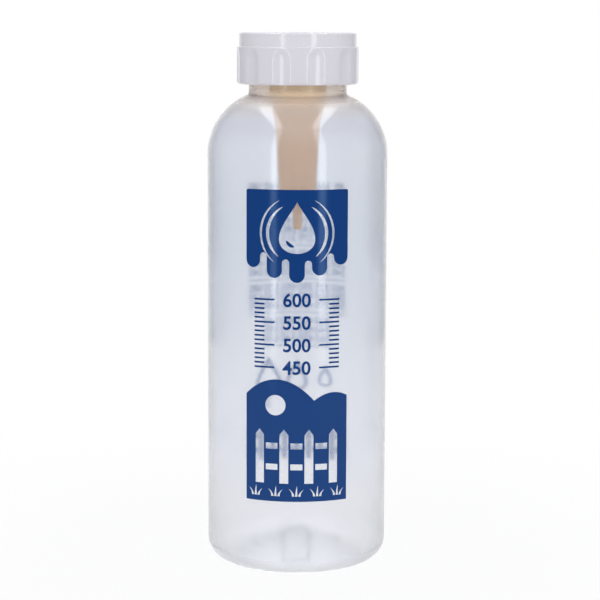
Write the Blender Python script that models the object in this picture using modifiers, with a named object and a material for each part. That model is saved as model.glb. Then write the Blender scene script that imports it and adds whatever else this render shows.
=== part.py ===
"""Lamb feeding bottle: a soft blown bottle, a screw cap, and a rubber teat stored nipple-down in the neck.

Metres, +Z up. The origin is the centre of the foot ring, and the printed front of the bottle faces -Y.
The teat carries a small ball valve in its bell, so that milk can't run back into the bottle.
"""

import math

import bmesh
import bpy
from mathutils import Matrix, Vector

MM = 0.001

# Running and seating gap between touching pieces
GAP = 0.3 * MM

# Bottle body
BODY_RADIUS = 41.0 * MM
BODY_HEIGHT = 187.0 * MM
BODY_WALL = 1.2 * MM
HEEL_RADIUS = 10.0 * MM
SHOULDER_HEIGHT = 27.15 * MM

# Foot ring, the dome pushed up inside it, and the channel that turns the bottle to the printer
FOOT_WIDTH = 1.8 * MM
PUNT_HEIGHT = 10.5 * MM
CHANNEL_WIDTH = 11.0 * MM
CHANNEL_DEPTH = 2.2 * MM

# Bottle neck
NECK_RADIUS = 22.2 * MM
NECK_WALL = 2.0 * MM
NECK_HEIGHT = 20.4 * MM
RIM_ROUND = 0.5 * MM

# Screw thread on the neck and in the cap
THREAD_PITCH = 4.0 * MM
THREAD_TURNS = 1.25
THREAD_HEIGHT = 2.1 * MM
THREAD_ROOT_WIDTH = 2.5 * MM
THREAD_CREST_WIDTH = 1.4 * MM
THREAD_BELOW_RIM = 6.5 * MM
THREAD_BITE = 1.2 * MM
THREAD_SINK = 0.8 * MM
THREAD_SLOPE_GAP = 0.35 * MM
THREAD_SIDE_GAP = 0.6 * MM
THREAD_FADE = math.radians(24)

# Screw cap
CAP_SKIRT_WALL = 2.7 * MM
CAP_SKIRT_BELOW_RIM = 15.7 * MM
CAP_TIER_STEP = 0.95 * MM
CAP_TIER_HEIGHT = 6.3 * MM
CAP_TOP_THICKNESS = 2.0 * MM
CAP_EDGE_ROUND = 1.0 * MM
CAP_FOOT_ROUND = 1.4 * MM
CLAMP_BEAD_HEIGHT = 2.25 * MM
CLAMP_BEAD_WIDTH = 1.8 * MM
CAP_HOLE_CLEARANCE = 0.6 * MM
GRIP_LOBES = 11
GRIP_TURN = math.radians(1.35)
GRIP_GROOVE_RADIUS = 20.0 * MM
GRIP_GROOVE_DEPTH = 0.72 * MM
GRIP_GROOVE_BELOW_STEP = 0.6 * MM

# Rubber teat
FLANGE_THICKNESS = 2.6 * MM
FLANGE_INSET = 0.2 * MM
BELL_RADIUS = 13.0 * MM
BELL_LENGTH = 21.3 * MM
TEAT_WALL = 2.2 * MM
VALVE_LEDGE = 1.4 * MM
CONE_LENGTH = 14.5 * MM
NIPPLE_ROOT_RADIUS = 9.7 * MM
NIPPLE_LENGTH = 28.0 * MM
NIPPLE_TIP_RADIUS = 8.5 * MM
NIPPLE_DOME = 6.4 * MM
NIB_RADIUS = 2.2 * MM
NIB_LENGTH = 12.0 * MM
BELL_ROUND = 1.5 * MM

# Air slits moulded in the teat's flange
VENT_COUNT = 2
VENT_BOSS_RADIUS = 2.0 * MM
VENT_BOSS_HEIGHT = 1.3 * MM
VENT_SLIT_LENGTH = 2.4 * MM
VENT_SLIT_WIDTH = 0.5 * MM

# Ball valve in the bell
HOUSING_HEIGHT = 12.7 * MM
HOUSING_WALL = 2.3 * MM
CAGE_FLOOR = 1.4 * MM
CAGE_BAR_WIDTH = 1.5 * MM
CAGE_HUB_RADIUS = 2.2 * MM
BALL_RADIUS = 4.0 * MM
BALL_SIDE_GAP = 0.35 * MM
BALL_TRAVEL = 2.5 * MM
SEAT_FLANGE_THICKNESS = 1.5 * MM
SEAT_CONE_DEPTH = 1.8 * MM

# Fineness of the turned shapes
BOTTLE_SIDES = 48
CAP_SIDES = 48
TEAT_SIDES = 32
VALVE_SIDES = 24
GRIP_GROOVE_SIDES = 120

# Sizes that follow from the bottle
NECK_BORE = NECK_RADIUS - NECK_WALL
NECK_BASE_Z = BODY_HEIGHT + SHOULDER_HEIGHT
RIM_Z = NECK_BASE_Z + NECK_HEIGHT
SHOULDER_INSET = BODY_RADIUS - NECK_RADIUS
SHOULDER_RADIUS = (SHOULDER_INSET**2 + SHOULDER_HEIGHT**2) / (2 * SHOULDER_INSET)
SHOULDER_CENTRE = BODY_RADIUS - SHOULDER_RADIUS
FOOT_OUTER = BODY_RADIUS - HEEL_RADIUS
FOOT_INNER = FOOT_OUTER - FOOT_WIDTH
PUNT_RADIUS = (FOOT_INNER**2 + PUNT_HEIGHT**2) / (2 * PUNT_HEIGHT)
PUNT_CENTRE_Z = PUNT_HEIGHT - PUNT_RADIUS

# Sizes that follow from the thread
THREAD_RISE = THREAD_PITCH * THREAD_TURNS
THREAD_CREST = NECK_RADIUS + THREAD_HEIGHT
THREAD_START_Z = RIM_Z - THREAD_BELOW_RIM - THREAD_RISE
CAP_BORE = THREAD_CREST + THREAD_SIDE_GAP
CAP_THREAD_CREST = THREAD_CREST - THREAD_BITE

# Sizes of the cap, measured from its lower edge
CAP_Z = RIM_Z - CAP_SKIRT_BELOW_RIM
CAP_BEAD_Z = CAP_SKIRT_BELOW_RIM + GAP + FLANGE_THICKNESS + GAP
CAP_CEILING_Z = CAP_BEAD_Z + CLAMP_BEAD_HEIGHT
CAP_HEIGHT = CAP_CEILING_Z + CAP_TOP_THICKNESS
CAP_STEP_Z = CAP_HEIGHT - CAP_TIER_HEIGHT
CAP_SKIRT_RADIUS = CAP_BORE + CAP_SKIRT_WALL
CAP_TIER_RADIUS = CAP_SKIRT_RADIUS - CAP_TIER_STEP
CAP_HOLE_RADIUS = BELL_RADIUS + CAP_HOLE_CLEARANCE

# Sizes of the teat, measured from the underside of its flange
TEAT_Z = RIM_Z + GAP
FLANGE_RADIUS = NECK_RADIUS - FLANGE_INSET
BELL_BORE = BELL_RADIUS - TEAT_WALL
LEDGE_Z = -BELL_LENGTH
CONE_END_Z = LEDGE_Z - CONE_LENGTH
NIPPLE_END_Z = CONE_END_Z - NIPPLE_LENGTH
TIP_Z = NIPPLE_END_Z - NIPPLE_DOME
VENT_RING_RADIUS = (BELL_RADIUS + NECK_BORE) / 2

# Sizes of the valve, measured from the underside of its housing
VALVE_Z = TEAT_Z + LEDGE_Z + GAP
HOUSING_RADIUS = BELL_BORE - GAP
CHAMBER_RADIUS = HOUSING_RADIUS - HOUSING_WALL
BALL_REST_Z = CAGE_FLOOR + GAP + BALL_RADIUS
BALL_SEAT_REACH = BALL_RADIUS * math.sqrt(0.5)
SEAT_HOLE_RADIUS = BALL_SEAT_REACH
SEAT_EDGE_Z = BALL_REST_Z + BALL_TRAVEL + BALL_SEAT_REACH + GAP * math.sqrt(2)
SEAT_PLUG_Z = SEAT_EDGE_Z - SEAT_CONE_DEPTH
GUIDE_TOP_Z = SEAT_PLUG_Z - GAP


def start_scene():
    """Empty the file, and make one collection for the pieces and one for the shapes that cut them."""
    for old in list(bpy.data.objects):
        bpy.data.objects.remove(old, do_unlink=True)
    pieces = bpy.data.collections.new("lamb_feeding_bottle")
    helpers = bpy.data.collections.new("cutters_and_guides")
    bpy.context.scene.collection.children.link(pieces)
    bpy.context.scene.collection.children.link(helpers)
    return pieces, helpers


def plastic(name, colour, roughness, transmission=0.0):
    """A Principled material for one of the bottle's plastics or rubbers."""
    material = bpy.data.materials.new(name)
    material.use_nodes = True
    shader = material.node_tree.nodes["Principled BSDF"]
    shader.inputs["Base Color"].default_value = (*colour, 1.0)
    shader.inputs["Roughness"].default_value = roughness
    shader.inputs["Metallic"].default_value = 0.0
    shader.inputs["Transmission Weight"].default_value = transmission
    return material


def add_object(name, bm, collection, z=0.0, material=None):
    """Turn a bmesh into a named object, standing at height z on the bottle's axis."""
    mesh = bpy.data.meshes.new(name)
    bm.to_mesh(mesh)
    bm.free()
    obj = bpy.data.objects.new(name, mesh)
    obj.location = (0.0, 0.0, z)
    collection.objects.link(obj)
    if material is not None:
        mesh.materials.append(material)
    return obj


def hide_helper(obj):
    """Mark a shape that only cuts or joins another one."""
    obj.hide_render = True
    obj.display_type = "WIRE"
    return obj


def turned(name, profile, sides, collection, z=0.0, material=None, ring=False):
    """Turn a profile of (radius, height) points about Z. A ring's profile closes on itself."""
    bm = bmesh.new()
    corners = [bm.verts.new((radius, 0.0, height)) for radius, height in profile]
    for first, second in zip(corners, corners[1:]):
        bm.edges.new((first, second))
    if ring:
        bm.edges.new((corners[-1], corners[0]))
    obj = add_object(name, bm, collection, z, material)
    screw = obj.modifiers.new("turn", "SCREW")
    screw.axis = "Z"
    screw.angle = math.tau
    screw.steps = sides
    screw.render_steps = sides
    screw.use_merge_vertices = True
    screw.merge_threshold = 0.00001
    screw.use_smooth_shade = True
    return obj


def box(name, size, centre, collection, z=0.0):
    """A helper box of the given size, centred on a point and standing at height z."""
    bm = bmesh.new()
    bmesh.ops.create_cube(bm, size=1.0)
    bmesh.ops.scale(bm, vec=size, verts=bm.verts)
    bmesh.ops.translate(bm, vec=centre, verts=bm.verts)
    return hide_helper(add_object(name, bm, collection, z))


def combine(target, other, operation):
    """Cut a helper from a piece, or join it to the piece, with the exact solver."""
    boolean = target.modifiers.new(other.name, "BOOLEAN")
    boolean.operation = operation
    boolean.solver = "EXACT"
    boolean.object = other


def arc(centre, radius, start, end, steps):
    """Points (radius, height) along an arc, whose angles run from outward to upward."""
    turn = (end - start) / steps
    return [
        (
            centre[0] + radius * math.cos(start + turn * i),
            centre[1] + radius * math.sin(start + turn * i),
        )
        for i in range(steps + 1)
    ]


def thread_ridge(name, root, crest, root_width, crest_width, start_z, collection, z=0.0):
    """A right-handed helical ridge, lofted from sections whose crest sinks into the wall at both ends."""
    section = [
        (root, -root_width / 2),
        (crest, -crest_width / 2),
        (crest, crest_width / 2),
        (root, root_width / 2),
    ]
    if crest < root:
        section.reverse()
    buried = root + math.copysign(THREAD_SINK / 2, crest - root)
    full_turn = THREAD_TURNS * math.tau
    steps = round(THREAD_TURNS * BOTTLE_SIDES)
    bm = bmesh.new()
    sections = []
    for step in range(steps + 1):
        turn = full_turn * step / steps
        share = min(1.0, turn / THREAD_FADE, (full_turn - turn) / THREAD_FADE)
        risen = buried + (crest - buried) * share * (2 - share)
        middle_z = start_z + THREAD_RISE * step / steps
        corners = []
        for radius, height in section:
            reach = risen if radius == crest else root
            place = (-reach * math.sin(turn), reach * math.cos(turn), middle_z + height)
            corners.append(bm.verts.new(place))
        sections.append(corners)
    for first, second in zip(sections, sections[1:]):
        for i, corner in enumerate(first):
            after = (i + 1) % len(section)
            bm.faces.new((corner, second[i], second[after], first[after]))
    bm.faces.new(sections[0])
    bm.faces.new(reversed(sections[-1]))
    return hide_helper(add_object(name, bm, collection, z))


def dome_profile(radius, centre_z, rim_radius, steps):
    """Points from the axis down a dome to a radius, on a sphere centred at centre_z."""
    lean = math.asin(rim_radius / radius)
    return [
        (radius * math.sin(lean * i / steps), centre_z + radius * math.cos(lean * i / steps))
        for i in range(steps + 1)
    ]


def bottle_profile(offset, neck, top):
    """The bottle's half section, moved inwards by offset, from the mouth down to the punt."""
    heel = arc((FOOT_OUTER, HEEL_RADIUS), HEEL_RADIUS - offset, 0.0, -math.pi / 2, 6)
    shoulder_radius = SHOULDER_RADIUS - offset
    meet = math.acos((neck - SHOULDER_CENTRE) / shoulder_radius)
    shoulder = arc((SHOULDER_CENTRE, BODY_HEIGHT), shoulder_radius, meet, 0.0, 9)
    punt_radius = PUNT_RADIUS + offset
    punt_edge = math.sqrt(punt_radius**2 - (PUNT_CENTRE_Z - offset) ** 2)
    punt = dome_profile(punt_radius, PUNT_CENTRE_Z, punt_edge, 6)
    return [*top, *shoulder, *heel, *reversed(punt)]


def channel_cutter(name, offset, helpers):
    """The sunk channel in the punt, from its middle to the front of the foot."""
    radius = PUNT_RADIUS + CHANNEL_DEPTH + offset
    reach = FOOT_INNER - FOOT_WIDTH + offset
    below = -2 * FOOT_WIDTH
    dome = dome_profile(radius, PUNT_CENTRE_Z, reach, 6)
    profile = [*dome, (reach, below), (0.0, below)]
    cutter = hide_helper(turned(name, profile, BOTTLE_SIDES, helpers))
    width = CHANNEL_WIDTH + 2 * offset
    length = BODY_RADIUS + offset
    tall = 4 * PUNT_HEIGHT
    slab = box(name + "_slab", (width, length, tall), (0.0, offset - length / 2, 0.0), helpers)
    combine(cutter, slab, "INTERSECT")
    return cutter


def make_bottle(pieces, helpers, material):
    """The blown bottle: heel, body, shoulder and threaded neck round one open cavity."""
    top = [
        (0.0, RIM_Z),
        (NECK_RADIUS - RIM_ROUND, RIM_Z),
        (NECK_RADIUS, RIM_Z - RIM_ROUND),
    ]
    outside = bottle_profile(0.0, NECK_RADIUS, top)
    bottle = turned("bottle", outside, BOTTLE_SIDES, pieces, material=material)
    combine(bottle, channel_cutter("channel", 0.0, helpers), "DIFFERENCE")
    ridge = thread_ridge(
        "neck_thread",
        NECK_RADIUS - THREAD_SINK,
        THREAD_CREST,
        THREAD_ROOT_WIDTH,
        THREAD_CREST_WIDTH,
        THREAD_START_Z,
        helpers,
    )
    combine(bottle, ridge, "UNION")
    mouth = [(0.0, RIM_Z + NECK_WALL), (NECK_BORE, RIM_Z + NECK_WALL)]
    inside = bottle_profile(BODY_WALL, NECK_BORE, mouth)
    cavity = hide_helper(turned("cavity", inside, BOTTLE_SIDES, helpers))
    combine(cavity, channel_cutter("channel_wall", BODY_WALL, helpers), "DIFFERENCE")
    combine(bottle, cavity, "DIFFERENCE")
    return bottle


def make_grip_groove(name, angle, helpers):
    """One upright groove between two lobes of the cap's grip, with a round top."""
    bm = bmesh.new()
    bmesh.ops.create_uvsphere(
        bm,
        u_segments=GRIP_GROOVE_SIDES,
        v_segments=GRIP_GROOVE_SIDES // 2,
        radius=GRIP_GROOVE_RADIUS,
    )
    for vert in bm.verts:
        if vert.co.z < -GRIP_GROOVE_RADIUS * 0.01:
            vert.co.z -= CAP_HEIGHT
    arch_height = math.sqrt(GRIP_GROOVE_DEPTH * (2 * GRIP_GROOVE_RADIUS - GRIP_GROOVE_DEPTH))
    groove_top = CAP_STEP_Z - GRIP_GROOVE_BELOW_STEP - arch_height
    out = CAP_SKIRT_RADIUS + GRIP_GROOVE_RADIUS - GRIP_GROOVE_DEPTH
    place = Matrix.Rotation(angle, 4, "Z") @ Matrix.Translation(Vector((0.0, -out, groove_top)))
    bm.transform(place)
    return hide_helper(add_object(name, bm, helpers, CAP_Z))


def make_cap(pieces, helpers, material):
    """The screw cap: a lobed skirt, a narrower top tier, and a hole that the teat comes out of in use."""
    bead_outer = FLANGE_RADIUS
    bead_inner = bead_outer - CLAMP_BEAD_WIDTH
    top_edge = arc(
        (CAP_TIER_RADIUS - CAP_EDGE_ROUND, CAP_HEIGHT - CAP_EDGE_ROUND),
        CAP_EDGE_ROUND,
        math.pi / 2,
        0.0,
        4,
    )
    foot_edge = arc(
        (CAP_SKIRT_RADIUS - CAP_FOOT_ROUND, CAP_FOOT_ROUND), CAP_FOOT_ROUND, 0.0, -math.pi / 2, 4
    )
    step_round = CAP_TIER_STEP / 2
    profile = [
        (CAP_HOLE_RADIUS, CAP_HEIGHT - step_round),
        (CAP_HOLE_RADIUS + step_round, CAP_HEIGHT),
        *top_edge,
        (CAP_TIER_RADIUS, CAP_STEP_Z),
        (CAP_SKIRT_RADIUS - step_round, CAP_STEP_Z),
        (CAP_SKIRT_RADIUS, CAP_STEP_Z - step_round),
        *foot_edge,
        (CAP_BORE + step_round, 0.0),
        (CAP_BORE, step_round),
        (CAP_BORE, CAP_CEILING_Z),
        (bead_outer, CAP_CEILING_Z),
        (bead_outer, CAP_BEAD_Z),
        (bead_inner, CAP_BEAD_Z),
        (bead_inner, CAP_CEILING_Z),
        (CAP_HOLE_RADIUS, CAP_CEILING_Z),
    ]
    cap = turned("screw_cap", profile, CAP_SIDES, pieces, CAP_Z, material, ring=True)
    for number in range(GRIP_LOBES):
        angle = GRIP_TURN + math.tau * (number + 0.5) / GRIP_LOBES
        combine(cap, make_grip_groove(f"grip_groove_{number + 1}", angle, helpers), "DIFFERENCE")
    slope = (THREAD_ROOT_WIDTH - THREAD_CREST_WIDTH) / 2
    free = THREAD_PITCH - THREAD_ROOT_WIDTH - 2 * THREAD_SLOPE_GAP
    ridge = thread_ridge(
        "cap_thread",
        CAP_BORE + THREAD_SINK,
        CAP_THREAD_CREST,
        free + 2 * slope,
        free,
        THREAD_START_Z - THREAD_PITCH / 2 - CAP_Z,
        helpers,
        CAP_Z,
    )
    combine(cap, ridge, "UNION")
    return cap


def make_teat(pieces, helpers, material):
    """The rubber teat: flange, bell and nipple in one moulding, with an uncut nib at its tip."""
    inner_tip = NIPPLE_TIP_RADIUS - TEAT_WALL
    inner_root = NIPPLE_ROOT_RADIUS - TEAT_WALL
    ledge_radius = BELL_BORE - VALVE_LEDGE
    dome_steps = 6
    hollow_end = [
        (
            inner_tip * math.sin(math.pi / 2 * i / dome_steps),
            NIPPLE_END_Z - (NIPPLE_DOME - TEAT_WALL) * math.cos(math.pi / 2 * i / dome_steps),
        )
        for i in range(dome_steps + 1)
    ]
    outer_lean = math.acos(NIB_RADIUS / NIPPLE_TIP_RADIUS)
    outer_tip = [
        (
            NIPPLE_TIP_RADIUS * math.cos(outer_lean * i / dome_steps),
            NIPPLE_END_Z - NIPPLE_DOME * math.sin(outer_lean * i / dome_steps),
        )
        for i in range(dome_steps + 1)
    ]
    nib_end_z = TIP_Z - NIB_LENGTH
    nib_round = NIB_RADIUS / 2
    bell_root = arc((BELL_RADIUS + BELL_ROUND, -BELL_ROUND), BELL_ROUND, math.pi / 2, math.pi, 3)
    flange_round = FLANGE_THICKNESS / 6
    profile = [
        *hollow_end,
        (inner_root, CONE_END_Z),
        (ledge_radius, LEDGE_Z),
        (BELL_BORE, LEDGE_Z),
        (BELL_BORE, FLANGE_THICKNESS - flange_round),
        (BELL_BORE + flange_round, FLANGE_THICKNESS),
        (FLANGE_RADIUS - flange_round, FLANGE_THICKNESS),
        (FLANGE_RADIUS, FLANGE_THICKNESS - flange_round),
        (FLANGE_RADIUS, flange_round),
        (FLANGE_RADIUS - flange_round, 0.0),
        *bell_root,
        (BELL_RADIUS, LEDGE_Z),
        (NIPPLE_ROOT_RADIUS, CONE_END_Z),
        *outer_tip,
        (NIB_RADIUS, nib_end_z + nib_round),
        (NIB_RADIUS - nib_round, nib_end_z),
        (0.0, nib_end_z),
    ]
    teat = turned("teat", profile, TEAT_SIDES, pieces, TEAT_Z, material)
    for number in range(VENT_COUNT):
        angle = math.tau * number / VENT_COUNT
        centre = (VENT_RING_RADIUS * math.cos(angle), VENT_RING_RADIUS * math.sin(angle), 0.0)
        boss = make_vent_boss(f"vent_boss_{number + 1}", centre, helpers)
        combine(teat, boss, "UNION")
        through = 2 * (FLANGE_THICKNESS + VENT_BOSS_HEIGHT)
        slit_size = (VENT_SLIT_WIDTH, VENT_SLIT_LENGTH, 2 * through)
        slit = box(f"vent_slit_{number + 1}", slit_size, centre, helpers, TEAT_Z)
        combine(teat, slit, "DIFFERENCE")
    return teat


def make_vent_boss(name, centre, helpers):
    """The raised lips round an air slit, tapering upwards from the flange."""
    sink = FLANGE_THICKNESS / 2
    height = VENT_BOSS_HEIGHT + sink
    bm = bmesh.new()
    bmesh.ops.create_cone(
        bm,
        cap_ends=True,
        segments=16,
        radius1=VENT_BOSS_RADIUS * 1.2,
        radius2=VENT_BOSS_RADIUS * 0.8,
        depth=height,
    )
    lift = FLANGE_THICKNESS - sink + height / 2
    bmesh.ops.translate(bm, vec=(centre[0], centre[1], lift), verts=bm.verts)
    return hide_helper(add_object(name, bm, helpers, TEAT_Z))


def make_valve_housing(pieces, helpers, material):
    """The valve's cup: four guide ribs keep the ball central, and a cross of bars holds it in."""
    chamfer = GAP
    profile = [
        (CHAMBER_RADIUS, HOUSING_HEIGHT),
        (HOUSING_RADIUS - chamfer, HOUSING_HEIGHT),
        (HOUSING_RADIUS, HOUSING_HEIGHT - chamfer),
        (HOUSING_RADIUS, chamfer),
        (HOUSING_RADIUS - chamfer, 0.0),
        (CHAMBER_RADIUS, 0.0),
    ]
    housing = turned("valve_housing", profile, VALVE_SIDES, pieces, VALVE_Z, material, ring=True)
    reach = CHAMBER_RADIUS + HOUSING_WALL / 2
    guide_radius = BALL_RADIUS + BALL_SIDE_GAP
    for number, angle in enumerate((0.0, math.pi / 2)):
        size = (2 * reach, CAGE_BAR_WIDTH, CAGE_FLOOR)
        bar = box(f"cage_bar_{number + 1}", size, (0.0, 0.0, CAGE_FLOOR / 2), helpers, VALVE_Z)
        bar.rotation_euler.z = angle
        combine(housing, bar, "UNION")
    hub_bm = bmesh.new()
    bmesh.ops.create_cone(
        hub_bm,
        cap_ends=True,
        segments=20,
        radius1=CAGE_HUB_RADIUS,
        radius2=CAGE_HUB_RADIUS,
        depth=CAGE_FLOOR,
    )
    bmesh.ops.translate(hub_bm, vec=(0.0, 0.0, CAGE_FLOOR / 2), verts=hub_bm.verts)
    combine(housing, hide_helper(add_object("cage_hub", hub_bm, helpers, VALVE_Z)), "UNION")
    rib_length = reach - guide_radius
    for number in range(4):
        size = (rib_length, CAGE_BAR_WIDTH, GUIDE_TOP_Z)
        centre = (guide_radius + rib_length / 2, 0.0, GUIDE_TOP_Z / 2)
        rib = box(f"guide_rib_{number + 1}", size, centre, helpers, VALVE_Z)
        rib.rotation_euler.z = math.pi / 2 * number
        combine(housing, rib, "UNION")
    return housing


def make_valve_seat(pieces, material):
    """The ring that closes the housing. Its cone is what the ball seals against."""
    flange_z = HOUSING_HEIGHT + GAP
    plug_radius = CHAMBER_RADIUS - GAP
    top_z = flange_z + SEAT_FLANGE_THICKNESS
    chamfer = GAP
    profile = [
        (SEAT_HOLE_RADIUS + 2 * chamfer, top_z),
        (HOUSING_RADIUS - chamfer, top_z),
        (HOUSING_RADIUS, top_z - chamfer),
        (HOUSING_RADIUS, flange_z),
        (plug_radius, flange_z),
        (plug_radius, SEAT_PLUG_Z),
        (SEAT_HOLE_RADIUS + SEAT_CONE_DEPTH, SEAT_PLUG_Z),
        (SEAT_HOLE_RADIUS, SEAT_EDGE_Z),
        (SEAT_HOLE_RADIUS, top_z - 2 * chamfer),
    ]
    return turned("valve_seat", profile, VALVE_SIDES, pieces, VALVE_Z, material, ring=True)


def make_ball(pieces, material):
    """The valve's ball, resting on the cage bars."""
    bm = bmesh.new()
    bmesh.ops.create_uvsphere(bm, u_segments=20, v_segments=12, radius=BALL_RADIUS)
    ball = add_object("valve_ball", bm, pieces, VALVE_Z + BALL_REST_Z, material)
    ball.data.shade_smooth()
    return ball


def empty_at(name, z, collection, parent=None):
    """An empty on the bottle's axis that a moving piece turns or slides with."""
    empty = bpy.data.objects.new(name, None)
    collection.objects.link(empty)
    empty.empty_display_size = NECK_RADIUS
    empty.location = (0.0, 0.0, z)
    if parent is not None:
        attach(empty, parent, z)
    return empty


def attach(obj, parent, parent_z):
    """Parent a piece to an empty at height parent_z, and leave it where it stands."""
    obj.parent = parent
    obj.matrix_parent_inverse = Matrix.Translation((0.0, 0.0, -parent_z))


def main():
    pieces, helpers = start_scene()
    soft_bottle = plastic("soft_bottle_plastic", (0.80, 0.84, 0.90), 0.25, 0.7)
    cap_plastic = plastic("white_cap_plastic", (0.83, 0.82, 0.85), 0.30)
    latex = plastic("natural_rubber", (0.62, 0.45, 0.30), 0.55)
    valve_plastic = plastic("white_valve_plastic", (0.86, 0.86, 0.84), 0.40)
    ball_plastic = plastic("blue_ball_plastic", (0.10, 0.24, 0.55), 0.25)

    make_bottle(pieces, helpers, soft_bottle)
    cap = make_cap(pieces, helpers, cap_plastic)
    teat = make_teat(pieces, helpers, latex)
    housing = make_valve_housing(pieces, helpers, valve_plastic)
    seat = make_valve_seat(pieces, valve_plastic)
    ball = make_ball(pieces, ball_plastic)

    lift = empty_at("cap_lift", RIM_Z, pieces)
    turn = empty_at("cap_turn", RIM_Z, pieces)
    float_axis = empty_at("ball_float", VALVE_Z, pieces)
    attach(turn, lift, RIM_Z)
    attach(float_axis, lift, RIM_Z)
    for piece in (teat, housing, seat):
        attach(piece, lift, RIM_Z)
    attach(cap, turn, RIM_Z)
    attach(ball, float_axis, VALVE_Z)


main()
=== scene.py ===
# %% [markdown]
# # A lamb feeding bottle
#
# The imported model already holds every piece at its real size: a soft blown bottle, a screw cap, and a rubber teat
# that hangs nipple-down in the neck with a small ball valve in its bell. This lesson gives each piece the surface
# that a hand would feel and a camera would see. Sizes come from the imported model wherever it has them, so a new
# surface always lands where the solid is.

# %% Load the frame
import math

import bmesh
import bpy
from mathutils import Matrix, Vector


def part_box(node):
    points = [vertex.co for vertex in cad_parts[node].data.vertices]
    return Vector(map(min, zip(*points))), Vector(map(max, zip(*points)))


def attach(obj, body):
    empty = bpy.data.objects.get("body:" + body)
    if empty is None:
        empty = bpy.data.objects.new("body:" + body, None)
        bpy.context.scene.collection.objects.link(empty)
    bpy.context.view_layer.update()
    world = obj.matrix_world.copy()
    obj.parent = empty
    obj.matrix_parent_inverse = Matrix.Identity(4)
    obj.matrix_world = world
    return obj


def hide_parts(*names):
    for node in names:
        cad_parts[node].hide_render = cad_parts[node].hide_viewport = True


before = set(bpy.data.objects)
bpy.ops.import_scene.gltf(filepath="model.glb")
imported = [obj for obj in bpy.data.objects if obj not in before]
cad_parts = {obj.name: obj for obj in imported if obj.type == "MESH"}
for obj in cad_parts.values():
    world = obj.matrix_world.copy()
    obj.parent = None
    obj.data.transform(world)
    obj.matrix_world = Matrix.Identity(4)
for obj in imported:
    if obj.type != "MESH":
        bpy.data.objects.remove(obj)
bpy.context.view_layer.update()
MM = 0.001

# %% [markdown]
# ## Sizes
#
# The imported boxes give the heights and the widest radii. What a box can't say, such as a wall or a rounded edge, is
# a named size here. Everything is in metres, and `MM` turns millimetres into them.

# %% Read the sizes from the frame
BODY_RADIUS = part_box("bottle")[1].x
RIM_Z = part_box("bottle")[1].z
CAP_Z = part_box("screw_cap")[0].z
CAP_TOP_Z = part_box("screw_cap")[1].z
CAP_RADIUS = -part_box("screw_cap")[0].y
FLANGE_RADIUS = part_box("teat")[1].x
NIB_END_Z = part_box("teat")[0].z
HOUSING_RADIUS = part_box("valve_housing")[1].x
SEAT_PLUG_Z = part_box("valve_seat")[0].z
SEAT_TOP_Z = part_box("valve_seat")[1].z
BALL_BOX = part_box("valve_ball")

BODY_TOP_Z = 187.0 * MM
SHOULDER_RADIUS = 29.0 * MM
NECK_RADIUS = 22.2 * MM
NECK_BORE = 20.2 * MM
HEEL_RADIUS = 10.0 * MM
FOOT_INNER = 29.2 * MM
PUNT_HEIGHT = 10.5 * MM
BOTTLE_WALL = 1.2 * MM
THREAD_PITCH = 4.0 * MM
THREAD_TURNS = 1.25
THREAD_START_Z = RIM_Z - 11.5 * MM
THREAD_FADE = math.radians(24)
print(f"bottle {2 * BODY_RADIUS / MM:.1f} mm across, {CAP_TOP_Z / MM:.1f} mm high")

# %% [markdown]
# ## Turned shapes
#
# Nearly every piece here is round, so one helper makes them all. It takes a profile of (radius, height) points that
# runs down the outer side and back up the inner side, and turns it into a ring. A point on the axis becomes one
# vertex. A shape function may then move each point by its angle: that is how the screw thread, the cap's grooves and
# the channel in the base grow out of one skin, with no seam between them.


# %% Helpers for profiles
def arc(centre, radius, start, end, steps):
    """Points (radius, height) along an arc, with its angles in degrees."""
    angles = [math.radians(start + (end - start) * i / steps) for i in range(steps + 1)]
    return [(centre[0] + radius * math.cos(a), centre[1] + radius * math.sin(a)) for a in angles]


def run(start, end, steps):
    """Evenly spaced points between two points of a profile, without its ends."""
    return [
        (start[0] + (end[0] - start[0]) * i / steps, start[1] + (end[1] - start[1]) * i / steps)
        for i in range(1, steps)
    ]


def step_up(value, edge, width):
    """0 below an edge and 1 above it, with a smooth slope between."""
    t = min(1.0, max(0.0, (value - edge) / width + 0.5))
    return t * t * (3 - 2 * t)


# %% Helpers for pieces
SHARP_ANGLE = math.radians(38)
ON_AXIS = 1e-7


def link(obj):
    """Puts an object into the scene and gives it back."""
    bpy.context.scene.collection.objects.link(obj)
    return obj


def mesh_from(name, bm):
    """A mesh made of a bmesh, which is given up."""
    mesh = bpy.data.meshes.new(name)
    bm.to_mesh(mesh)
    bm.free()
    return mesh


def smooth(mesh):
    """Shades a mesh smooth, except across its sharp edges."""
    mesh.shade_smooth()
    mesh.set_sharp_from_angle(angle=SHARP_ANGLE)


def add_piece(name, mesh, material):
    """An object with a smooth mesh and one material."""
    smooth(mesh)
    mesh.materials.clear()
    mesh.materials.append(material)
    return link(bpy.data.objects.new(name, mesh))


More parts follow.
